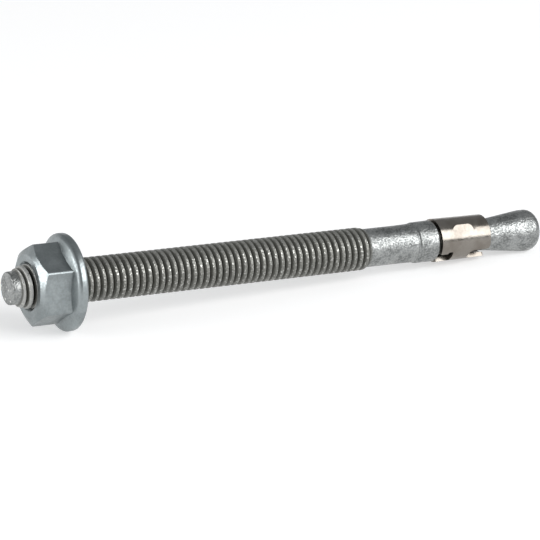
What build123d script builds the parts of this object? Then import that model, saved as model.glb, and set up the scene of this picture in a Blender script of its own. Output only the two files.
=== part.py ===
from build123d import *

import os
from math import asin, atan2, cos, hypot, radians, sin, tan

# Wedge anchor, M8 size, lying on its side: a threaded steel bolt with a cone at its far end,
# a hexagon flange nut on the thread and a loose sheet-steel expansion clip round the neck.
# Sizes are millimetres.  Stations run along the bolt's axis from the face of the threaded tip,
# and clock angles turn right-handed about that axis from its upper side.

# ---- bolt ----
tip_radius = 2.86
tip_length = 1.5
tip_edge = 0.3
thread_diameter = 7.82
thread_length = 68.5
thread_start_radius = 3.12
thread_start_length = 4.3
thread_runout_length = 0.6
shank_radius = 3.5
shank_length = 7.5
flare_length = 2.75
flare_rise = 0.09
groove_width = 0.5
groove_depth = 0.1
collar_radius = 3.8
collar_length = 3.3
collar_taper = 0.05
collar_edge = 0.2
neck_radius = 2.78
neck_root_edge = 0.3
cone_radius = 3.84
cone_half_angle = 6.6
cone_land_length = 1.1
cone_end_radius = 1.89

# ---- flange nut ----
nut_station = 3.75
nut_height = 7.5
across_flats = 12.8
hexagon_edge_radius = 0.5
nut_face_radius = 5.5
nut_chamfer_angle = 30
flange_radius = 8.54
flange_rim_width = 1.3
flange_slope = 22
flange_front_edge = 0.4
flange_back_edge = 0.25
nut_bore_clearance = 0.06
nut_countersink = 0.4
nut_clock = -1.8

# ---- expansion clip ----
clip_gap = 0.75
clip_length = 10.25
clip_wall = 0.85
clip_clearance = 0.37
clip_taper = 0.12
clip_edge_chamfer = 0.12
lobe_count = 2
slot_clock = 132.7
slot_width = 2.5
slot_length = 4.4
slot_root_radius = 1.0
lobe_corner_radius = 0.8
notch_length = 1.25
notch_width = 2.3
relief_length = 1.4
relief_width = 2.7
relief_corner_radius = 0.35
seam_gap = 0.1
pad_clock = 49.0
pad_station = 4.8
pad_length = 4.6
pad_width = 2.5
pad_height = 0.12
pad_edge = 0.1

# ---- where the turned surfaces begin and end ----
bolt_seam_clock = 45
nut_seam_clock = 135
clip_seam_clock = 45

# ---- stations worked out from the lengths above ----
thread_radius = thread_diameter / 2
thread_station = tip_length
shank_station = thread_station + thread_length
flare_station = shank_station + shank_length
groove_station = flare_station + flare_length
collar_station = groove_station + groove_width
shoulder_station = collar_station + collar_length
clip_station = shoulder_station + clip_gap
clip_end_station = clip_station + clip_length
cone_station = clip_end_station
cone_length = (cone_radius - neck_radius) / tan(radians(cone_half_angle))
cone_land_station = cone_station + cone_length
cone_end_station = cone_land_station + cone_land_length + cone_end_radius
nut_seat_station = nut_station + nut_height

# ---- how the anchor lies ----
# It rests on the flange's rim and on the cone's rounded heel, so the floor is the line through the
# rim's corner that touches the heel's circle, and the bolt's tilt follows.
rim_corner = (nut_seat_station - flange_back_edge, flange_radius)
heel_centre = (cone_end_station - cone_end_radius, cone_radius - cone_end_radius)
span = heel_centre[0] - rim_corner[0]
drop = rim_corner[1] - heel_centre[1]
tilt = atan2(drop, span) - asin(cone_end_radius / hypot(span, drop))
tip_height = rim_corner[0] * sin(tilt) + rim_corner[1] * cos(tilt)
low_x = -(tip_radius - tip_edge) * sin(tilt)
high_x = heel_centre[0] * cos(tilt) + heel_centre[1] * sin(tilt) + cone_end_radius
tip_position = Vector(-(low_x + high_x) / 2, 0, tip_height)

# ---- the bolt's own directions and planes ----
along = Vector(cos(tilt), 0, -sin(tilt))
upward = Vector(sin(tilt), 0, cos(tilt))
bolt_axis = Axis(tip_position, along)
cross_plane = Plane(tip_position, x_dir=upward, z_dir=along)


def profile_plane(clock):
    """Plane through the bolt's axis, with its x along the bolt and its y at a clock angle."""
    outward = upward.rotate(Axis((0, 0, 0), along), clock)
    return Plane(tip_position, x_dir=along, z_dir=along.cross(outward))


def radial_plane(station, clock, radius=0.0):
    """Plane square to the radius at a clock angle, with its x along the bolt."""
    outward = upward.rotate(Axis((0, 0, 0), along), clock)
    return Plane(tip_position + along * station + outward * radius, x_dir=along, z_dir=outward)


os.makedirs("parts", exist_ok=True)

# ---- anchor bolt: one turned and rolled piece from the tip to the cone ----
with BuildPart() as anchor_bolt:
    with BuildSketch(profile_plane(bolt_seam_clock)) as bolt_profile:
        with BuildLine():
            Polyline(
                (0, 0),
                (0, tip_radius),
                (tip_length, tip_radius),
                (tip_length, thread_start_radius),
                (tip_length + thread_start_length, thread_radius),
                (shank_station - thread_runout_length, thread_radius),
                (shank_station, shank_radius),
                (flare_station, shank_radius),
                (groove_station, shank_radius + flare_rise),
                (groove_station + groove_width / 2, shank_radius + flare_rise - groove_depth),
                (collar_station, collar_radius - collar_taper),
                (shoulder_station - collar_edge, collar_radius),
                (shoulder_station, collar_radius - collar_edge),
                (shoulder_station, neck_radius),
                (cone_station, neck_radius),
                (cone_land_station, cone_radius),
                (cone_end_station, cone_radius),
                (cone_end_station, 0),
                close=True,
            )
        make_face()
        tip_corner = bolt_profile.vertices().sort_by_distance((0, tip_radius))[0]
        chamfer(tip_corner, length=tip_edge)
        neck_root = bolt_profile.vertices().sort_by_distance((shoulder_station, neck_radius))[0]
        chamfer(neck_root, length=neck_root_edge)
        cone_heel = bolt_profile.vertices().sort_by_distance((cone_end_station, cone_radius))[0]
        fillet(cone_heel, radius=cone_end_radius)
    revolve(axis=bolt_axis)
anchor_bolt.part.label = "anchor_bolt"
export_step(anchor_bolt.part, "parts/anchor_bolt.step")

# ---- flange nut: hexagon, conical flange and bored hole in one forged piece ----
nut_bore_radius = thread_radius + nut_bore_clearance
nut_corner_radius = across_flats / 2 / cos(radians(30))
nut_chamfer_depth = (nut_corner_radius - nut_face_radius) * tan(radians(nut_chamfer_angle))
rim_front_station = nut_seat_station - flange_rim_width
flange_root_radius = across_flats / 2 - 1
flange_root_station = rim_front_station - (flange_radius - flange_root_radius) * tan(radians(flange_slope))
with BuildPart() as flange_nut:
    with BuildSketch(cross_plane.offset(nut_station)) as hexagon:
        RegularPolygon(across_flats / 2, side_count=6, major_radius=False, rotation=nut_clock)
        fillet(hexagon.vertices(), radius=hexagon_edge_radius)
    extrude(amount=rim_front_station - nut_station)
    with BuildSketch(profile_plane(nut_seam_clock)):
        with BuildLine():
            Polyline(
                (nut_station, 0),
                (nut_station, nut_face_radius),
                (nut_station + nut_chamfer_depth, nut_corner_radius),
                (nut_seat_station, nut_corner_radius),
                (nut_seat_station, 0),
                close=True,
            )
        make_face()
    revolve(axis=bolt_axis, mode=Mode.INTERSECT)
    with BuildSketch(profile_plane(nut_seam_clock)) as flange_profile:
        with BuildLine():
            Polyline(
                (flange_root_station, 0),
                (flange_root_station, flange_root_radius),
                (rim_front_station, flange_radius),
                (nut_seat_station, flange_radius),
                (nut_seat_station, 0),
                close=True,
            )
        make_face()
        rim_front = flange_profile.vertices().sort_by_distance((rim_front_station, flange_radius))[0]
        chamfer(rim_front, length=flange_front_edge)
        rim_back = flange_profile.vertices().sort_by_distance((nut_seat_station, flange_radius))[0]
        chamfer(rim_back, length=flange_back_edge)
    revolve(axis=bolt_axis)
    with BuildSketch(profile_plane(nut_seam_clock)):
        with BuildLine():
            Polyline(
                (nut_station, 0),
                (nut_station, nut_bore_radius + nut_countersink),
                (nut_station + nut_countersink, nut_bore_radius),
                (nut_seat_station - nut_countersink, nut_bore_radius),
                (nut_seat_station, nut_bore_radius + nut_countersink),
                (nut_seat_station, 0),
                close=True,
            )
        make_face()
    revolve(axis=bolt_axis, mode=Mode.SUBTRACT)
flange_nut.part.label = "flange_nut"
export_step(flange_nut.part, "parts/flange_nut.step")

# ---- expansion clip: a strip of sheet steel wrapped round the neck until its ends meet ----
# One end is straight.  The other carries a tab between a notch and a slot, so the strip's full
# edge shows through both, and a second slot opposite leaves two spreading lobes.
clip_inner_radius = neck_radius + clip_clearance
clip_outer_radius = clip_inner_radius + clip_wall
cut_reach = clip_outer_radius + pad_height + 1
seam_side = -slot_width / 2
with BuildPart() as expansion_clip:
    with BuildSketch(profile_plane(clip_seam_clock)) as wall_profile:
        with BuildLine():
            Polyline(
                (clip_station, clip_inner_radius),
                (clip_station, clip_outer_radius),
                (clip_end_station, clip_outer_radius - clip_taper),
                (clip_end_station, clip_inner_radius),
                close=True,
            )
        make_face()
        chamfer(wall_profile.vertices(), length=clip_edge_chamfer)
    revolve(axis=bolt_axis)
    for lobe in range(lobe_count):
        lobe_turn = lobe * 360 / lobe_count
        pad_base = radial_plane(clip_station + pad_station, pad_clock + lobe_turn, clip_inner_radius + clip_wall / 4)
        with BuildSketch(pad_base):
            SlotOverall(pad_length, pad_width)
        extrude(amount=clip_wall * 3 / 4 + pad_height)
        pad_top = expansion_clip.faces().sort_by_distance(
            radial_plane(clip_station + pad_station, pad_clock + lobe_turn, clip_outer_radius + pad_height).origin
        )[0]
        chamfer(pad_top.edges(), length=pad_edge)
    for lobe in range(lobe_count):
        lobe_turn = lobe * 360 / lobe_count
        with BuildSketch(radial_plane(clip_end_station, slot_clock + lobe_turn)) as slot_sketch:
            with Locations((-slot_length / 2, 0)):
                Rectangle(slot_length, slot_width)
            slot_roots = slot_sketch.vertices().group_by(Axis.X)[0]
            fillet(slot_roots, radius=slot_root_radius)
            with Locations((lobe_corner_radius / 2, 0)):
                Rectangle(lobe_corner_radius, slot_width + 4 * lobe_corner_radius)
            for side in (-1, 1):
                lobe_corner = slot_sketch.vertices().sort_by_distance((0, side * slot_width / 2))[0]
                fillet(lobe_corner, radius=lobe_corner_radius)
        extrude(amount=cut_reach, mode=Mode.SUBTRACT)
    with BuildSketch(radial_plane(clip_station, slot_clock)) as notch_sketch:
        with Locations((0, seam_side)):
            Rectangle(notch_length, notch_width, align=(Align.MIN, Align.MIN))
        with Locations((notch_length, seam_side)):
            Rectangle(relief_length, relief_width, align=(Align.MIN, Align.MIN))
        relief_corners = notch_sketch.vertices().group_by(Axis.Y)[-1]
        fillet(relief_corners, radius=relief_corner_radius)
    extrude(amount=cut_reach, mode=Mode.SUBTRACT)
    with BuildSketch(radial_plane(clip_station, slot_clock)):
        with Locations((clip_length / 2, seam_side)):
            Rectangle(clip_length, seam_gap)
    extrude(amount=cut_reach, mode=Mode.SUBTRACT)
expansion_clip.part.label = "expansion_clip"
export_step(expansion_clip.part, "parts/expansion_clip.step")
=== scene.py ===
from math import asin, atan2, cos, hypot, pi, radians, sin, tan

import bmesh
import bpy
from mathutils import Matrix, Vector


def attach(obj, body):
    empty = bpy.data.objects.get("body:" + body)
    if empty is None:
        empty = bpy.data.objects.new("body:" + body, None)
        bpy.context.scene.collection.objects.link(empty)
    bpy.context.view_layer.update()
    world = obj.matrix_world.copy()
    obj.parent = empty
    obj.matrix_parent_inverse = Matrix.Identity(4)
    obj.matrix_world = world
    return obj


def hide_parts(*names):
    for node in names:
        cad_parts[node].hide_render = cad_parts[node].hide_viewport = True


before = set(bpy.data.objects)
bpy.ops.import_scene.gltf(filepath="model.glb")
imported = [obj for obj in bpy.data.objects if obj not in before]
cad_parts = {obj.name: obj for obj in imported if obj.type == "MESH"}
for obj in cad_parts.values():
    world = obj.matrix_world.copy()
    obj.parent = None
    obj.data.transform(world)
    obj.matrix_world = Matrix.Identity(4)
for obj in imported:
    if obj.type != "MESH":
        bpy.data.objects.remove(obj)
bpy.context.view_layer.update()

# Wedge anchor, M8 size, lying on its flange and on the heel of its cone.
# Each piece is modelled in millimetres, standing on its threaded tip: the bolt's axis is Z, a
# station is a height above the tip's face, and a clock angle turns from X, the bolt's upper side.
# lay_down then brings it to metres and to its place on the floor.

# ---- bolt ----
bolt_sides = 72
pitch = 1.25
crest_radius = 3.91
root_radius = 3.31
flank_angle = 30
crest_flat = 0.52
crest_round = 0.1
crest_at_clock_zero = 1.437
thread_start = 1.5
thread_full = 5.8
first_crest_full = 4.4
first_crest_radius = 3.25
first_root_radius = 2.93
first_lip = 0.15
thread_end = 70.5
thread_fades_from = 69.4
tip_radius = 2.9
tip_edge = 0.3
shank_radius = 3.5
shank_middle = 73.6
flare_start = 77.5
flare = [(78.65, 3.517), (79.55, 3.547)]
groove_start = 80.25
groove = [(-0.05, 3.582), (0.02, 3.575), (0.13, 3.512), (0.25, 3.492), (0.36, 3.53)]
collar_start = 80.75
collar_lead = [(-0.03, 3.69), (0.12, 3.738), (0.4, 3.75)]
collar_middle = (82.15, 3.76)
shoulder = 84.6
shoulder_edge = 0.2
collar_radius = 3.8
neck_radius = 2.78
cone_start = 95.05
cone_radius = 3.84
cone_half_angle = 6.6
cone_land_length = 1.1
cone_end_radius = 1.89

# ---- flange nut ----
nut_sides = 144
flange_sides = 180
nut_front = 3.75
nut_seat = 11.25
across_flats = 12.8
hexagon_edge_radius = 0.5
nut_face_radius = 5.5
nut_chamfer_angle = 30
nut_clock = -1.8
flange_radius = 8.54
flange_rim_width = 1.3
flange_slope = 22
flange_face_rows = (0, 0.5, 0.7, 0.85, 1.0, 1.15, 1.3, 1.45, 1.6, 1.75, 1.9, 2.1, 2.3, 2.5)
rim_front_edge = [(0.0, 0.27), (0.14, 0.11), (0.32, 0.02), (0.46, 0.0)]
rim_back_edge = 0.25
rim_swell = 0.3
nut_bore_radius = 3.97
nut_countersink = 0.4
countersink_reach = 0.5
nut_edge_round = 0.13

# ---- expansion clip ----
clip_sides = 192
clip_rows = 18
clip_start = 85.05
clip_end = 95.55
clip_inner_radius = 3.15
clip_wall = 0.85
clip_taper = 0.12
slot_clock = 132.7
slot_width = 2.5
slot_length = 4.3
slot_root_radius = 1.0
lobe_corner_radius = 0.8
notch_length = 1.5
notch_width = 2.3
relief_length = 1.1
relief_width = 2.7
relief_corner_radius = 0.35
seam_gap = 0.1
pad_clock = 54.0
pad_middle = 4.8
pad_length = 4.6
pad_width = 2.5
pad_height = 0.12
pad_sink = 0.07
pad_top_share = (0.94, 0.92, 1)
pad_pivot = 0.66
pad_lean = 8
clip_edge_round = 0.07
cut_reach = 7.0
cut_true_radius = 3.8

cone_length = (cone_radius - neck_radius) / tan(radians(cone_half_angle))
cone_end = cone_start + cone_length + cone_land_length
bolt_end = cone_end + cone_end_radius

# ---- how the anchor lies ----
rim_back = nut_seat - rim_back_edge
span = cone_end - rim_back
drop = flange_radius - (cone_radius - cone_end_radius)
tilt = atan2(drop, span) - asin(cone_end_radius / hypot(span, drop))
low_x = -(tip_radius - tip_edge) * sin(tilt)
high_x = cone_end * cos(tilt) + (cone_radius - cone_end_radius) * sin(tilt) + cone_end_radius
tip_height = rim_back * sin(tilt) + flange_radius * cos(tilt)
resting = Matrix.Scale(0.001, 4) @ Matrix((
    (sin(tilt), 0, cos(tilt), -(low_x + high_x) / 2),
    (0, -1, 0, 0),
    (cos(tilt), 0, -sin(tilt), tip_height),
    (0, 0, 0, 1),
))


# ---- the maker's moves ----
def clear_selection():
    """Nothing stays selected, so that the next move acts on the new piece alone."""
    if bpy.context.object and bpy.context.object.mode != "OBJECT":
        bpy.ops.object.mode_set(mode="OBJECT")
    bpy.ops.object.select_all(action="DESELECT")


def take(piece):
    """The piece is the one selected and active object."""
    clear_selection()
    piece.select_set(True)
    bpy.context.view_layer.objects.active = piece


def open_piece(piece, pick="VERT"):
    take(piece)
    bpy.ops.object.mode_set(mode="EDIT")
    bpy.ops.mesh.select_mode(type=pick)


def pick_where(piece, test, kind="verts"):
    """Selects the vertices or edges of the open piece that pass a test on their place."""
    shape = bmesh.from_edit_mesh(piece.data)
    for element in list(shape.verts) + list(shape.edges) + list(shape.faces):
        element.select = False
    for element in getattr(shape, kind):
        if test(element):
            element.select = True
    if kind == "verts":
        shape.select_flush(True)
    bmesh.update_edit_mesh(piece.data)


def pick_ring(piece, station, reach=0.004):
    pick_where(piece, lambda vertex: abs(vertex.co.z - station) < reach)


def carry_ring(station, radius, course):
    """Extrudes the picked ring to each station and radius of its course in turn."""
    for next_station, next_radius in course:
        bpy.ops.mesh.extrude_region_move(
            TRANSFORM_OT_translate={"value": (0, 0, next_station - station)}
        )
        grow = next_radius / radius
        bpy.ops.transform.resize(value=(grow, grow, 1), center_override=(0, 0, next_station))
        station, radius = next_station, next_radius


def turn_solid(name, sides, course, turn=0.0):
    """A closed solid turned about the axis, with a flat face at each end of its course."""
    (station, radius), *rest = course
    solid = start_ring(name, sides, station, radius, turn)
    bpy.ops.mesh.edge_face_add()
    pick_ring(solid, station)
    carry_ring(station, radius, rest)
    bpy.ops.mesh.edge_face_add()
    turn_outward()
    return solid


def close_at_centre():
    """The picked ring is drawn in to a point on the axis."""
    bpy.ops.mesh.extrude_region_move()
    bpy.ops.mesh.merge(type="CENTER")


def rounding(middle_station, middle_radius, size, start, stop, steps):
    """Stations and radii along a rounded edge, by angle from the outward direction to the end."""
    course = []
    for step in range(steps + 1):
        angle = radians(start + (stop - start) * step / steps)
        course.append((middle_station + size * sin(angle), middle_radius + size * cos(angle)))
    return course


def start_ring(name, sides, station, radius, turn=0.0):
    """A ring of edges square to the axis, open for work and picked."""
    clear_selection()
    bpy.ops.mesh.primitive_circle_add(
        vertices=sides, radius=radius, fill_type="NOTHING",
        location=(0, 0, station), rotation=(0, 0, radians(turn)),
    )
    piece = bpy.context.object
    piece.name = name
    bpy.ops.object.transform_apply(location=True, rotation=True, scale=True)
    open_piece(piece)
    bpy.ops.mesh.select_all(action="SELECT")
    return piece


def turn_outward():
    bpy.ops.mesh.select_all(action="SELECT")
    bpy.ops.mesh.normals_make_consistent(inside=False)
    bpy.ops.object.mode_set(mode="OBJECT")


def combine(piece, tool, way):
    """Joins, cuts or keeps what two closed pieces share, and takes the tool away."""
    take(piece)
    change = piece.modifiers.new(name=way.title(), type="BOOLEAN")
    change.operation = way
    change.solver = "EXACT"
    change.object = tool
    bpy.ops.object.modifier_apply(modifier=change.name)
    bpy.data.objects.remove(tool, do_unlink=True)


def soften_edges(piece, width, segments, angle):
    """Rounds every edge that is sharper than the angle."""
    take(piece)
    bevel = piece.modifiers.new(name="Bevel", type="BEVEL")
    bevel.width = width
    bevel.segments = segments
    bevel.limit_method = "ANGLE"
    bevel.angle_limit = radians(angle)
    bevel.use_clamp_overlap = True
    bpy.ops.object.modifier_apply(modifier=bevel.name)


def lay_down(piece):
    """Millimetres on the bolt's own axis become metres where the anchor lies."""
    take(piece)
    piece.matrix_world = resting
    bpy.ops.object.transform_apply(location=True, rotation=True, scale=True)


def finish_surface(piece, angle, material):
    """Smooth shading but for edges sharper than the angle, and the piece's one material."""
    take(piece)
    bpy.ops.object.shade_smooth_by_angle(angle=radians(angle))
    piece.data.materials.clear()
    piece.data.materials.append(material)


def even_shading(piece):
    """Lets the broad faces rule the shading where cuts have left slivers."""
    take(piece)
    weighted = piece.modifiers.new(name="Weighted normals", type="WEIGHTED_NORMAL")
    weighted.keep_sharp = True
    weighted.weight = 100
    bpy.ops.object.modifier_apply(modifier=weighted.name)


def stand_for(piece, node):
    """The piece moves with the node's body, takes its place and fills its slot."""
    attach(piece, node)
    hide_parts(node)


# ---- camera ----
clear_selection()
camera_place = Vector((-0.24469127, -0.44483825, 0.17013354))
camera_target = Vector((-0.00273058, -0.00054529, 0.00463399))
bpy.ops.object.camera_add(location=camera_place)
camera = bpy.context.object
camera.name = "studio_camera"
camera.rotation_euler = (camera_target - camera_place).to_track_quat("-Z", "Y").to_euler()
camera.data.lens = 198.60
camera.data.sensor_width = 36
camera.data.clip_start = 0.01
bpy.context.scene.camera = camera


# ---- materials ----
def new_material(name):
    material = bpy.data.materials.new(name)
    material.use_nodes = True
    return material, material.node_tree.nodes, material.node_tree.links


def new_group(name, inputs, outputs):
    """An effect that several finishes share.

    Each input is a socket's name, kind and value, and each output a socket's name and kind.
    """
    group = bpy.data.node_groups.new(name, "ShaderNodeTree")
    for socket, kind, value in inputs:
        made = group.interface.new_socket(name=socket, in_out="INPUT", socket_type=kind)
        made.default_value = value
    for socket, kind in outputs:
        group.interface.new_socket(name=socket, in_out="OUTPUT", socket_type=kind)
    nodes = group.nodes
    return group, nodes, group.links, nodes.new("NodeGroupInput"), nodes.new("NodeGroupOutput")


def remap(nodes, links, value, low, high, to_low=0.0, to_high=1.0, smooth=True):
    node = nodes.new("ShaderNodeMapRange")
    node.interpolation_type = "SMOOTHSTEP" if smooth else "LINEAR"
    limits = {"From Min": low, "From Max": high, "To Min": to_low, "To Max": to_high}
    for socket, number in limits.items():
        node.inputs[socket].default_value = number
    links.new(value, node.inputs["Value"])
    return node.outputs["Result"]


def reckon(nodes, links, operation, one, other):
    node = nodes.new("ShaderNodeMath")
    node.operation = operation
    for socket, value in zip(node.inputs, (one, other)):
        if isinstance(value, (int, float)):
            socket.default_value = value
        else:
            links.new(value, socket)
    return node.outputs["Value"]


def blend(nodes, links, amount, one, other, way="MIX"):
    node = nodes.new("ShaderNodeMix")
    node.data_type = "RGBA"
    node.blend_type = way
    for socket, value in ((node.inputs[0], amount), (node.inputs[6], one), (node.inputs[7], other)):
        if isinstance(value, tuple):
            socket.default_value = (*value, 1)
        elif isinstance(value, (int, float)):
            socket.default_value = value
        else:
            links.new(value, socket)
    return node.outputs[2]


def make_bolt_place():
    """Where a point lies on the bolt: its station along the axis and its radius, in millimetres."""
    group, nodes, links, _, results = new_group(
        "bolt_place", [], [("Station", "NodeSocketFloat"), ("Radius", "NodeSocketFloat")]
    )
    place = nodes.new("ShaderNodeTexCoord")
    turned = nodes.new("ShaderNodeMapping")
    turned.vector_type = "TEXTURE"
    turned.inputs["Location"].default_value = resting.to_translation()
    turned.inputs["Rotation"].default_value = (0, tilt, 0)
    turned.inputs["Scale"].default_value = (0.001, 0.001, 0.001)
    links.new(place.outputs["Object"], turned.inputs["Vector"])
    parts = nodes.new("ShaderNodeSeparateXYZ")
    links.new(turned.outputs["Vector"], parts.inputs[0])
    flat = nodes.new("ShaderNodeCombineXYZ")
    links.new(parts.outputs["Y"], flat.inputs["Y"])
    links.new(parts.outputs["Z"], flat.inputs["Z"])
    away = nodes.new("ShaderNodeVectorMath")
    away.operation = "LENGTH"
    links.new(flat.outputs[0], away.inputs[0])
    links.new(parts.outputs["X"], results.inputs["Station"])
    links.new(away.outputs["Value"], results.inputs["Radius"])
    return group


def make_speckle():
    """Fine grains and broader clouds of a plated coat: Grain, Glint and Cloud run from 0 to 1."""
    group, nodes, links, settings, results = new_group(
        "plating_speckle",
        [("Grain Size", "NodeSocketFloat", 2600.0), ("Cloud Size", "NodeSocketFloat", 420.0)],
        [("Grain", "NodeSocketFloat"), ("Glint", "NodeSocketFloat"), ("Cloud", "NodeSocketFloat"),
         ("Height", "NodeSocketFloat")],
    )
    place = nodes.new("ShaderNodeTexCoord")

    def noise(scale, detail, rough):
        node = nodes.new("ShaderNodeTexNoise")
        node.inputs["Detail"].default_value = detail
        node.inputs["Roughness"].default_value = rough
        links.new(place.outputs["Object"], node.inputs["Vector"])
        links.new(settings.outputs[scale], node.inputs["Scale"])
        return node.outputs["Fac"]

    grain = noise("Grain Size", 1.6, 0.5)
    cloud = noise("Cloud Size", 4.0, 0.55)
    links.new(remap(nodes, links, grain, 0.36, 0.64), results.inputs["Grain"])
    links.new(remap(nodes, links, grain, 0.55, 0.66), results.inputs["Glint"])
    links.new(remap(nodes, links, cloud, 0.36, 0.64), results.inputs["Cloud"])
    height = reckon(nodes, links, "ADD", grain, reckon(nodes, links, "MULTIPLY", cloud, 0.9))
    links.new(height, results.inputs["Height"])
    return group


bolt_place = make_bolt_place()
speckle = make_speckle()


def put(nodes, group, **values):
    node = nodes.new("ShaderNodeGroup")
    node.node_tree = group
    for socket, value in values.items():
        node.inputs[socket.replace("_", " ")].default_value = value
    return node


def relief(nodes, links, height, distance):
    bump = nodes.new("ShaderNodeBump")
    bump.inputs["Distance"].default_value = distance
    links.new(height, bump.inputs["Height"])
    return bump.outputs["Normal"]


def make_zinc_bolt():
    """Zinc-plated steel: olive in the thread, with painted shade darkening it from crest to root;
    paler and bluish on the plain ends.
    """
    # painted shade: the thread's roots and flanks take darker tones than its crests, for the shade
    # in its grooves
    root_painted_shade_tone, flank_painted_shade_tone = (0.018, 0.018, 0.015), (0.125, 0.125, 0.112)
    dark_crest_tone, light_crest_tone = (0.185, 0.185, 0.17), (0.42, 0.422, 0.41)
    dark_plain_tone, pale_plain_tone = (0.162, 0.169, 0.168), (0.292, 0.301, 0.301)
    sparkle_tone, fleck_tone, grain_tone = (0.48, 0.49, 0.49), (0.72, 0.72, 0.7), (0.62, 0.62, 0.6)

    material, nodes, links = new_material("zinc_bolt")
    surface = nodes["Principled BSDF"]
    place = put(nodes, bolt_place)
    coat = put(nodes, speckle, Grain_Size=2900.0, Cloud_Size=520.0)
    station, radius = place.outputs["Station"], place.outputs["Radius"]

    # which part of the bolt a point is on
    smooth_end = remap(nodes, links, station, 69.8, 70.7)
    stub = remap(nodes, links, station, 1.7, 1.2)
    plain = reckon(nodes, links, "MAXIMUM", smooth_end, reckon(nodes, links, "MULTIPLY", stub, 0.9))
    low_ridges = remap(nodes, links, station, 1.5, 3.6, 0.6, 0.0, smooth=False)
    height = reckon(nodes, links, "ADD", radius, low_ridges)
    # flank and crest: how far a point stands out of the thread's roots, which sets the painted
    # shade in the grooves
    flank = remap(nodes, links, height, 3.33, 3.5)
    crest = remap(nodes, links, height, 3.66, 3.86)
    # the crests' tone grows lighter over the first turns from the tip
    lighter_towards_tip = remap(nodes, links, station, 9.0, 3.0)

    # tone, with painted shade in the thread's grooves
    crest_lightening = reckon(nodes, links, "MAXIMUM", lighter_towards_tip, coat.outputs["Glint"])
    crest_tone = blend(nodes, links, crest_lightening, dark_crest_tone, light_crest_tone)
    thread_tone = blend(
        nodes, links, crest, blend(nodes, links, flank, root_painted_shade_tone, flank_painted_shade_tone), crest_tone
    )
    plain_tone = blend(nodes, links, coat.outputs["Cloud"], dark_plain_tone, pale_plain_tone)
    sparkle = reckon(nodes, links, "MULTIPLY", coat.outputs["Grain"], 0.3)
    plain_tone = blend(nodes, links, sparkle, plain_tone, sparkle_tone)
    tone = blend(nodes, links, plain, thread_tone, plain_tone)
    grain = reckon(nodes, links, "MULTIPLY", coat.outputs["Grain"], 0.55)
    tone = blend(nodes, links, grain, tone, grain_tone, "OVERLAY")

    # bright nicks on the bare tip
    fleck = nodes.new("ShaderNodeTexVoronoi")
    fleck.inputs["Scale"].default_value = 700
    spot = nodes.new("ShaderNodeTexCoord")
    links.new(spot.outputs["Object"], fleck.inputs["Vector"])
    nick = remap(nodes, links, fleck.outputs["Distance"], 0.2, 0.1)
    nick = reckon(nodes, links, "MULTIPLY", nick, stub)
    links.new(blend(nodes, links, nick, tone, fleck_tone), surface.inputs["Base Color"])

    # the thread is duller than the plain ends, but for bare grains on its crests
    glint = reckon(nodes, links, "MULTIPLY", coat.outputs["Glint"], crest)
    bare = reckon(nodes, links, "MAXIMUM", plain, glint)
    links.new(remap(nodes, links, bare, 0, 1, 0.4, 1, smooth=False), surface.inputs["Metallic"])
    thread_dull = remap(nodes, links, glint, 0, 1, 0.44, 0.26, smooth=False)
    plain_dull = remap(nodes, links, coat.outputs["Grain"], 0, 1, 0.46, 0.30, smooth=False)
    dull = nodes.new("ShaderNodeMix")
    links.new(plain, dull.inputs[0])
    links.new(thread_dull, dull.inputs[2])
    links.new(plain_dull, dull.inputs[3])
    links.new(dull.outputs[0], surface.inputs["Roughness"])
    links.new(relief(nodes, links, coat.outputs["Height"], 0.000105), surface.inputs["Normal"])
    return material


def make_zinc_nut():
    """Satin zinc plating with a cool, slightly blue tone."""
    material, nodes, links = new_material("zinc_nut")
    surface = nodes["Principled BSDF"]
    surface.inputs["Metallic"].default_value = 1
    coat = put(nodes, speckle, Grain_Size=2400.0, Cloud_Size=300.0)
    tone = blend(nodes, links, coat.outputs["Cloud"], (0.232, 0.255, 0.258), (0.295, 0.322, 0.326))
    grain = reckon(nodes, links, "MULTIPLY", coat.outputs["Grain"], 0.3)
    tone = blend(nodes, links, grain, tone, (0.6, 0.62, 0.64), "OVERLAY")
    links.new(tone, surface.inputs["Base Color"])
    dull = remap(nodes, links, coat.outputs["Grain"], 0, 1, 0.42, 0.33, smooth=False)
    links.new(dull, surface.inputs["Roughness"])
    links.new(relief(nodes, links, coat.outputs["Height"], 0.000012), surface.inputs["Normal"])
    return material


def make_clip_steel():
    """Bright stainless strip with a warm cast and faint waves left by rolling and bending."""
    material, nodes, links = new_material("clip_steel")
    surface = nodes["Principled BSDF"]
    surface.inputs["Metallic"].default_value = 1
    coat = put(nodes, speckle, Grain_Size=1700.0, Cloud_Size=260.0)
    tone = blend(nodes, links, coat.outputs["Cloud"], (0.205, 0.184, 0.161), (0.26, 0.241, 0.217))
    links.new(tone, surface.inputs["Base Color"])
    dull = remap(nodes, links, coat.outputs["Grain"], 0, 1, 0.19, 0.26, smooth=False)
    links.new(dull, surface.inputs["Roughness"])
    links.new(relief(nodes, links, coat.outputs["Cloud"], 0.00001), surface.inputs["Normal"])
    return material


zinc_bolt = make_zinc_bolt()
zinc_nut = make_zinc_nut()
clip_steel = make_clip_steel()


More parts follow.
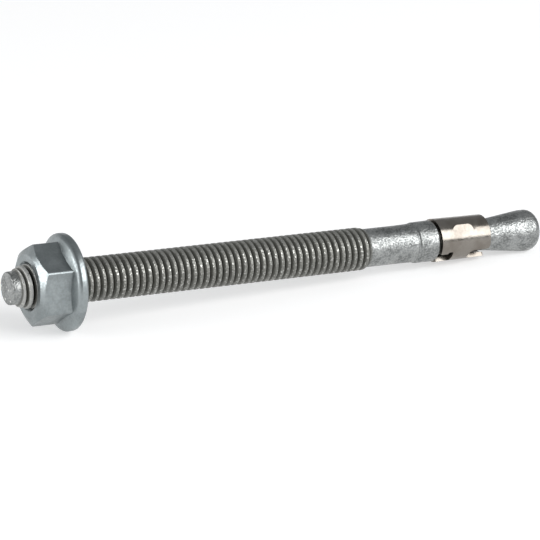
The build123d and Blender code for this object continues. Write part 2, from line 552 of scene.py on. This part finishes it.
# ---- anchor bolt ----
def make_thread():
    """The rolled thread, one ridge's outline wound along the bolt and trimmed at both ends."""
    flank = (crest_radius - root_radius) * tan(radians(flank_angle))
    root_end = crest_flat / 2 + flank
    crest_corner = crest_flat / 2 - crest_round * tan(radians(flank_angle))
    outline = [
        (-pitch / 2, root_radius),
        (-root_end - 0.01, root_radius + 0.006),
        (-root_end + 0.025, root_radius + 0.05),
        *[(-crest_corner - crest_round * sin(radians(turn)),
           crest_radius - crest_round * (1 - cos(radians(turn))))
          for turn in (60, 40, 20, 0)],
        (0, crest_radius),
    ]
    outline += [(-place, radius) for place, radius in reversed(outline[:-1])]
    first = crest_at_clock_zero - pitch
    clear_selection()
    bpy.ops.mesh.primitive_plane_add(size=1, location=(0, 0, 0))
    piece = bpy.context.object
    piece.name = "anchor_bolt_body"
    open_piece(piece)
    bpy.ops.mesh.select_all(action="SELECT")
    bpy.ops.mesh.merge(type="CENTER")
    bpy.ops.transform.translate(value=(outline[0][1], 0, first + outline[0][0]))
    for (place, radius), (next_place, next_radius) in zip(outline, outline[1:]):
        bpy.ops.mesh.extrude_region_move(
            TRANSFORM_OT_translate={"value": (next_radius - radius, 0, next_place - place)}
        )
    bpy.ops.object.mode_set(mode="OBJECT")
    screw = piece.modifiers.new(name="Screw", type="SCREW")
    screw.axis = "Z"
    screw.angle = 2 * pi
    screw.screw_offset = pitch
    screw.iterations = int((thread_end - first) / pitch) + 3
    screw.steps = bolt_sides
    screw.render_steps = bolt_sides
    bpy.ops.object.modifier_apply(modifier=screw.name)
    open_piece(piece)
    bpy.ops.mesh.select_all(action="SELECT")
    bpy.ops.mesh.remove_doubles(threshold=0.002)
    for station, side in ((thread_start, 1), (thread_end, -1)):
        bpy.ops.mesh.select_all(action="SELECT")
        bpy.ops.mesh.bisect(
            plane_co=(0, 0, station), plane_no=(0, 0, side), clear_inner=True, threshold=0.0005
        )
        pick_ring(piece, station)
        bpy.ops.mesh.remove_doubles(threshold=0.06)
    bpy.ops.object.mode_set(mode="OBJECT")
    return piece


def between(value, low, high):
    return min(1.0, max(0.0, (value - low) / (high - low)))


def fade_thread(piece):
    """The ridges rise out of the tip over the first turns and sink into the shank at the last."""
    for vertex in piece.data.vertices:
        station = vertex.co.z
        radius = hypot(vertex.co.x, vertex.co.y)
        share_of_ridge = (radius - root_radius) / (crest_radius - root_radius)
        rise = between(station, thread_start, thread_full)
        swell = 1 - (1 - between(station, thread_start, first_crest_full)) ** 2
        sink = between(station, thread_fades_from, thread_end)
        sink = sink * sink * (3 - 2 * sink)
        lip = between(station, thread_start, thread_start + first_lip)
        root = first_root_radius + (root_radius - first_root_radius) * rise
        full_crest = first_crest_radius + (crest_radius - first_crest_radius) * swell
        crest = root + lip * (full_crest - root)
        root += (shank_radius - root) * sink
        crest += (shank_radius - crest) * sink
        grow = (root + share_of_ridge * (crest - root)) / radius
        vertex.co.x *= grow
        vertex.co.y *= grow


def make_bolt():
    """The thread, carried on to the pilot tip at one end and to the cone at the other."""
    slope = tan(radians(cone_half_angle))
    bolt = make_thread()
    fade_thread(bolt)
    open_piece(bolt)
    pick_ring(bolt, thread_start)
    carry_ring(thread_start, first_root_radius, [
        (thread_start - 0.03, tip_radius + 0.015),
        (thread_start - 0.1, tip_radius),
        (tip_edge + 0.35, tip_radius),
        *[(2 * tip_edge - station, radius) for station, radius in
          rounding(tip_edge, tip_radius - tip_edge, tip_edge, 0, 90, 6)],
        (0, tip_radius - 0.6),
        (0.02, tip_radius - 1.1),
        (0.04, 0.9),
    ])
    close_at_centre()
    pick_ring(bolt, thread_end)
    carry_ring(thread_end, shank_radius, [
        # shank and groove
        (thread_end + 0.6, shank_radius),
        (shank_middle, shank_radius),
        (flare_start, shank_radius),
        *flare,
        *[(groove_start + along, radius) for along, radius in groove],
        # collar
        *[(collar_start + along, radius) for along, radius in collar_lead],
        collar_middle,
        (shoulder - 0.5, collar_radius - 0.006),
        *rounding(shoulder - shoulder_edge, collar_radius - shoulder_edge, shoulder_edge, 0, 90, 5),
        # neck
        (shoulder, neck_radius + 0.3),
        (shoulder + 0.09, neck_radius + 0.09),
        (shoulder + 0.3, neck_radius),
        (shoulder + 2.5, neck_radius),
        (cone_start - 2, neck_radius),
        (cone_start - 0.5, neck_radius),
        # cone, its land and its rounded end
        (cone_start, neck_radius + 0.012),
        (cone_start + 0.5, neck_radius + 0.06),
        (cone_start + 3, neck_radius + 3 * slope),
        (cone_start + 6, neck_radius + 6 * slope),
        (cone_end - cone_land_length - 0.6, cone_radius - 0.6 * slope),
        (cone_end - cone_land_length, cone_radius - 0.012),
        (cone_end - cone_land_length + 0.5, cone_radius),
        *rounding(cone_end, cone_radius - cone_end_radius, cone_end_radius, 0, 90, 14),
        (bolt_end, 1.2),
        (bolt_end, 0.5),
    ])
    close_at_centre()
    turn_outward()
    return bolt


bolt = make_bolt()


# ---- flange nut ----
def make_hexagon():
    """The hexagon's bar with its six corner edges rounded."""
    length = nut_seat - flange_rim_width - nut_front
    clear_selection()
    bpy.ops.mesh.primitive_cylinder_add(
        vertices=6, radius=across_flats / 2 / cos(radians(30)), depth=length,
        location=(0, 0, nut_front + length / 2), rotation=(0, 0, radians(nut_clock + 30)),
    )
    hexagon = bpy.context.object
    hexagon.name = "flange_nut_body"
    bpy.ops.object.transform_apply(location=True, rotation=True, scale=True)
    open_piece(hexagon, "EDGE")
    pick_where(
        hexagon, lambda edge: abs(edge.verts[0].co.z - edge.verts[1].co.z) > length / 2, "edges"
    )
    bpy.ops.mesh.bevel(offset=hexagon_edge_radius * tan(radians(30)), segments=5, affect="EDGES")
    bpy.ops.object.mode_set(mode="OBJECT")
    return hexagon


def make_nut():
    """The hexagon turned down to its chamfer, joined to the flange, then bored and softened."""
    corner = across_flats / 2 / cos(radians(30)) + 0.05
    chamfer = (corner - nut_face_radius) * tan(radians(nut_chamfer_angle))
    nut = make_hexagon()
    blank = start_ring("chamfered_blank", nut_sides, nut_front, nut_face_radius)
    bpy.ops.mesh.edge_face_add()
    bpy.ops.mesh.inset(thickness=0.5)
    pick_where(blank, lambda vertex: hypot(vertex.co.x, vertex.co.y) > nut_face_radius - 0.1)
    widening = corner - nut_face_radius
    carry_ring(nut_front, nut_face_radius, [
        *[(nut_front + chamfer * step / 10, nut_face_radius + widening * step / 10)
          for step in range(1, 11)],
        (nut_seat, corner),
    ])
    bpy.ops.mesh.edge_face_add()
    turn_outward()
    combine(nut, blank, "INTERSECT")

    rim_front = nut_seat - flange_rim_width
    root = across_flats / 2 - 1
    rise = tan(radians(flange_slope))
    flange = turn_solid("flange", flange_sides, [
        *[(rim_front - (flange_radius - root - step) * rise, root + step)
          for step in flange_face_rows],
        (rim_front - 0.5 * rise + 0.01, flange_radius - 0.5),
        *[(rim_front + along, flange_radius - inward) for along, inward in rim_front_edge],
        (nut_seat - rim_back_edge, flange_radius),
        *rounding(nut_seat - rim_back_edge, flange_radius - rim_back_edge - rim_swell,
                  rim_back_edge + rim_swell, 0, 90, 7)[1:],
        (nut_seat + rim_swell, root),
    ], turn=1)
    combine(nut, flange, "UNION")

    mouth_radius = nut_bore_radius + nut_countersink + countersink_reach
    bore = turn_solid("bore", nut_sides, [
        (nut_front - countersink_reach, mouth_radius),
        (nut_front + nut_countersink, nut_bore_radius),
        (nut_seat + rim_swell - nut_countersink, nut_bore_radius),
        (nut_seat + rim_swell + countersink_reach, mouth_radius),
    ])
    combine(nut, bore, "DIFFERENCE")
    soften_edges(nut, nut_edge_round, 3, 24)
    return nut


nut = make_nut()


# ---- expansion clip ----
def stand_on_side(tool, station, clock, radius):
    """Turns a tool made facing Z, with its length along X, to face out at a clock angle."""
    outward = Vector((cos(radians(clock)), sin(radians(clock)), 0))
    onward = Vector((0, 0, 1))
    across = outward.cross(onward)
    place = outward * radius + onward * station
    take(tool)
    tool.matrix_world = Matrix((
        (onward.x, across.x, outward.x, place.x),
        (onward.y, across.y, outward.y, place.y),
        (onward.z, across.z, outward.z, place.z),
        (0, 0, 0, 1),
    ))
    bpy.ops.object.transform_apply(location=True, rotation=True, scale=True)


def cutter(name, start, stop, low, high):
    """A block that stands on the axis, from start to stop along X and from low to high across."""
    clear_selection()
    bpy.ops.mesh.primitive_cube_add(
        size=1, location=((start + stop) / 2, (low + high) / 2, cut_reach / 2),
        scale=(stop - start, high - low, cut_reach),
    )
    block = bpy.context.object
    block.name = name
    bpy.ops.object.transform_apply(location=True, rotation=True, scale=True)
    return block


def round_corners(block, places, radius):
    """Rounds the block's upright edges at the given places."""
    open_piece(block, "EDGE")

    def chosen(edge):
        one, other = (vertex.co for vertex in edge.verts)
        upright = abs(one.z - other.z) > 1
        return upright and any(hypot(one.x - x, one.y - y) < 0.01 for x, y in places)

    pick_where(block, chosen, "edges")
    bpy.ops.mesh.bevel(offset=radius, segments=6, affect="EDGES")
    bpy.ops.object.mode_set(mode="OBJECT")


def taper_to_axis(block):
    """Narrows the block almost to nothing at the axis, so that its cuts run along radii."""
    open_piece(block)
    for height, grow in ((0, 0.02), (cut_reach, cut_reach / cut_true_radius)):
        pick_where(block, lambda vertex: abs(vertex.co.z - height) < 0.01)
        bpy.ops.transform.resize(value=(1, grow, 1), center_override=(0, 0, 0))
    bpy.ops.mesh.select_all(action="SELECT")
    bpy.ops.mesh.quads_convert_to_tris()
    turn_outward()


def cut_clip(clip, block, station, clock):
    """Cuts the wall with a block whose X runs on from the station, at a clock angle."""
    taper_to_axis(block)
    stand_on_side(block, station, clock, 0)
    combine(clip, block, "DIFFERENCE")


def make_wall():
    """The sheet bent to a tube, a little thinner towards its far end."""
    length = clip_end - clip_start
    outer = clip_inner_radius + clip_wall
    clip = start_ring("expansion_clip_sheet", clip_sides, clip_start, outer, turn=0.9)
    rows = [clip_start + length * row / clip_rows for row in range(1, clip_rows + 1)]
    outside = [(station, outer - clip_taper * (station - clip_start) / length) for station in rows]
    inside = [(station, clip_inner_radius) for station in reversed([clip_start] + rows)]
    carry_ring(clip_start, outer, outside + inside)
    pick_where(clip, lambda edge: edge.is_boundary, "edges")
    bpy.ops.mesh.select_mode(type="EDGE")
    bpy.ops.mesh.bridge_edge_loops()
    turn_outward()
    return clip


def raise_pad(clip, clock):
    """A long pad pressed out of the wall, leaning so that its lower edge runs into the sheet."""
    clear_selection()
    bpy.ops.mesh.primitive_circle_add(
        vertices=48, radius=pad_width / 2, fill_type="NGON", location=(0, 0, 0)
    )
    pad = bpy.context.object
    open_piece(pad)
    for side in (1, -1):
        pick_where(pad, lambda vertex: vertex.co.x * side > 0.001)
        bpy.ops.transform.translate(value=(side * (pad_length - pad_width) / 2, 0, 0))
    bpy.ops.mesh.select_all(action="SELECT")
    for rise in (clip_wall * 0.75 - pad_height, pad_height - pad_sink):
        bpy.ops.mesh.extrude_region_move(TRANSFORM_OT_translate={"value": (0, 0, rise)})
    bpy.ops.transform.resize(value=pad_top_share, center_override=(0, 0, 0))
    bpy.ops.mesh.select_all(action="SELECT")
    bpy.ops.transform.rotate(
        value=-radians(pad_lean), orient_axis="X", center_override=(0, 0, clip_wall * pad_pivot)
    )
    turn_outward()
    stand_on_side(pad, clip_start + pad_middle, clock, clip_inner_radius + clip_wall / 4)
    combine(clip, pad, "UNION")


def cut_slot(clip, clock):
    """A slot from the far end, with a rounded root and a mouth that rounds the lobes' corners."""
    half = slot_width / 2
    slot = cutter("slot", -slot_length, 0.5, -half, half)
    round_corners(slot, [(-slot_length, -half), (-slot_length, half)], slot_root_radius)
    mouth_half = half + 2 * lobe_corner_radius
    mouth = cutter("mouth", 0, lobe_corner_radius, -mouth_half, mouth_half)
    combine(slot, mouth, "UNION")
    round_corners(slot, [(0, -half), (0, half)], lobe_corner_radius)
    cut_clip(clip, slot, clip_end, clock)


def part_seam(clip):
    """The seam where the strip's ends meet, with the notch and the relief at its near end."""
    side = -slot_width / 2
    notch = cutter("notch", -0.5, notch_length + 0.2, side, side + notch_width)
    cut_clip(clip, notch, clip_start, slot_clock)
    relief_side = side + relief_width
    relief_end = notch_length + relief_length
    relief = cutter("relief", notch_length, relief_end, side, relief_side)
    round_corners(
        relief, [(notch_length, relief_side), (relief_end, relief_side)], relief_corner_radius
    )
    cut_clip(clip, relief, clip_start, slot_clock)
    seam_end = clip_end - clip_start + 0.5
    seam = cutter("seam", -0.5, seam_end, side - seam_gap / 2, side + seam_gap / 2)
    cut_clip(clip, seam, clip_start, slot_clock)


def make_clip():
    """The wall with its two pads, two slots and the seam, and its edges softened."""
    clip = make_wall()
    for lobe_turn in (0, 180):
        raise_pad(clip, pad_clock + lobe_turn)
    for lobe_turn in (0, 180):
        cut_slot(clip, slot_clock + lobe_turn)
    part_seam(clip)
    soften_edges(clip, clip_edge_round, 2, 32)
    return clip


clip = make_clip()

for piece, node, angle, material in (
    (bolt, "anchor_bolt", 40, zinc_bolt),
    (nut, "flange_nut", 30, zinc_nut),
    (clip, "expansion_clip", 30, clip_steel),
):
    lay_down(piece)
    finish_surface(piece, angle, material)
    if piece is not bolt:
        even_shading(piece)
    stand_for(piece, node)


# ---- studio ----
floor_size = 4
floor_middle = (0, -0.8, 0)
wall_height = 0.36
wall_curve = 0.3


def make_floor_paint():
    """Pale floor that shows white to the eye and in reflections, and keeps the anchor's shadow."""
    material, nodes, links = new_material("floor_paint")
    surface = nodes["Principled BSDF"]
    surface.inputs["Base Color"].default_value = (0.72, 0.72, 0.72, 1)
    surface.inputs["Roughness"].default_value = 1
    surface.inputs["Specular IOR Level"].default_value = 0
    surface.inputs["Emission Color"].default_value = (1, 1, 1, 1)
    ray = nodes.new("ShaderNodeLightPath")
    seen = ray.outputs["Is Camera Ray"]
    for other in ("Is Glossy Ray", "Is Transmission Ray"):
        seen = reckon(nodes, links, "MAXIMUM", seen, ray.outputs[other])
    links.new(reckon(nodes, links, "MULTIPLY", seen, 0.45), surface.inputs["Emission Strength"])
    return material


def make_sweep():
    """One sheet: the floor runs back, curves up and stands behind the anchor."""
    clear_selection()
    bpy.ops.mesh.primitive_plane_add(size=floor_size, location=floor_middle)
    sweep = bpy.context.object
    sweep.name = "studio_sweep"
    bpy.ops.object.transform_apply(location=True, rotation=True, scale=True)
    open_piece(sweep)
    pick_where(sweep, lambda vertex: vertex.co.y > 1)
    bpy.ops.mesh.extrude_region_move(TRANSFORM_OT_translate={"value": (0, 0, wall_height)})
    open_piece(sweep, "EDGE")

    def foot_of_wall(edge):
        return all(vertex.co.y > 1 and vertex.co.z < 0.1 for vertex in edge.verts)

    pick_where(sweep, foot_of_wall, "edges")
    bpy.ops.mesh.bevel(offset=wall_curve, segments=12, affect="EDGES")
    bpy.ops.object.mode_set(mode="OBJECT")
    bpy.ops.object.shade_smooth()
    sweep.data.materials.append(make_floor_paint())
    return sweep


make_sweep()


def softbox(name, place, target, width, height, power):
    """A rectangular lamp turned to its target."""
    clear_selection()
    bpy.ops.object.light_add(type="AREA", location=place)
    lamp = bpy.context.object
    lamp.name = name
    lamp.rotation_euler = (Vector(target) - Vector(place)).to_track_quat("-Z", "Y").to_euler()
    lamp.data.shape = "RECTANGLE"
    lamp.data.size = width
    lamp.data.size_y = height
    lamp.data.energy = power


softbox("key_softbox", (0.449, -0.742, 0.511), (0, 0, 0), 0.9, 0.75, 9.6)
softbox("side_softbox", (-0.95, 0.24, 0.2), (-0.02, 0, 0.01), 0.66, 0.39, 5)

world = bpy.context.scene.world or bpy.data.worlds.new("World")
bpy.context.scene.world = world
world.use_nodes = True
background = world.node_tree.nodes["Background"]
background.inputs["Color"].default_value = (0.42, 0.43, 0.44, 1)
background.inputs["Strength"].default_value = 0.85
bpy.context.scene.view_settings.view_transform = "Standard"
